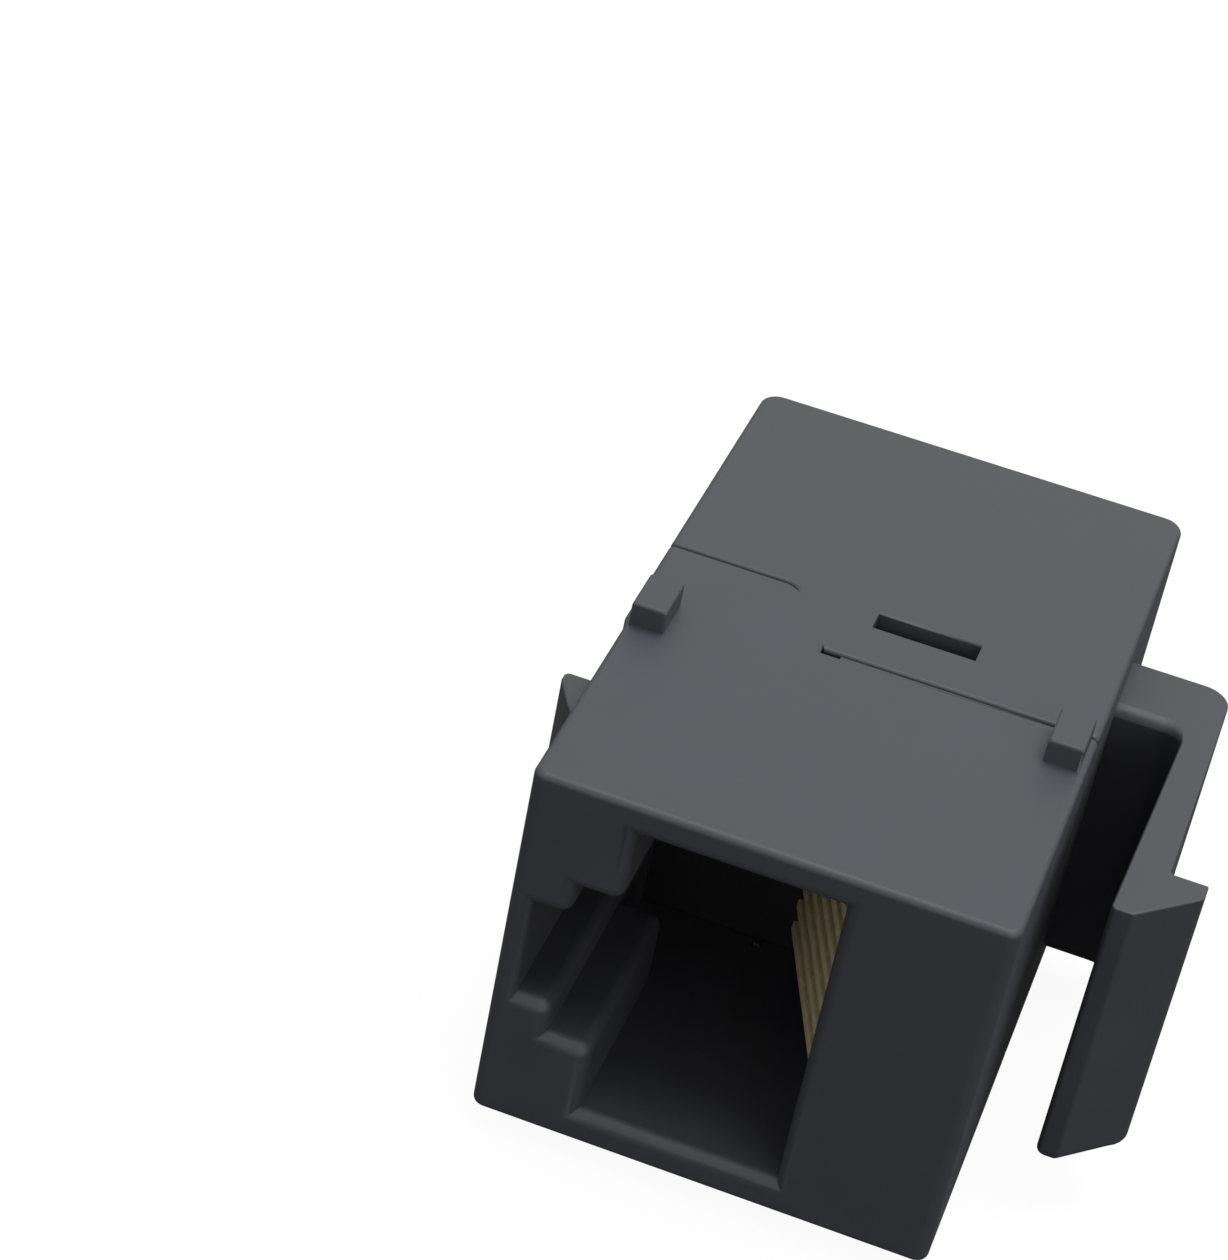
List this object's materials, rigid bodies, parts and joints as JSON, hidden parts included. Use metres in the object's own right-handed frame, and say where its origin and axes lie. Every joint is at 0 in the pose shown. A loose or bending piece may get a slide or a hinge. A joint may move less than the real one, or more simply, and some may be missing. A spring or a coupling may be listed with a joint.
{
  "type": "inline network coupler",
  "caption": "Snap-in inline coupler with a modular plug port at each end, a fixed hook, a sprung latch arm and panel stops.",
  "frame": {"origin": "under the middle of the whole part, at the height of the lower panel stops it lies on", "axes": "+X from the fixed hook to the latch arm, +Y from the front port to the rear port, +Z across the ports' width, upwards as it lies"},
  "size_m": [0.0228, 0.027, 0.0163],
  "materials": {
    "housing_plastic": "dark grey moulded plastic, satin",
    "carrier_plastic": "near-black moulded plastic",
    "contact_gold": "gold-plated spring wire",
    "board_laminate": "green solder mask",
    "solder": "bright solder"
  },
  "bodies": {
    "root": {"front_housing": "housing_plastic", "rear_housing": "housing_plastic", "front_contact_carrier": "carrier_plastic", "rear_contact_carrier": "carrier_plastic", "circuit_board": "board_laminate", "front_solder_joints": "solder", "rear_solder_joints": "solder", "front_contact_1": "contact_gold", "front_contact_2": "contact_gold", "front_contact_3": "contact_gold", "front_contact_4": "contact_gold", "front_contact_5": "contact_gold", "front_contact_6": "contact_gold", "front_contact_7": "contact_gold", "front_contact_8": "contact_gold", "rear_contact_1": "contact_gold", "rear_contact_2": "contact_gold", "rear_contact_3": "contact_gold", "rear_contact_4": "contact_gold", "rear_contact_5": "contact_gold", "rear_contact_6": "contact_gold", "rear_contact_7": "contact_gold", "rear_contact_8": "contact_gold"}
  },
  "joints": []
}
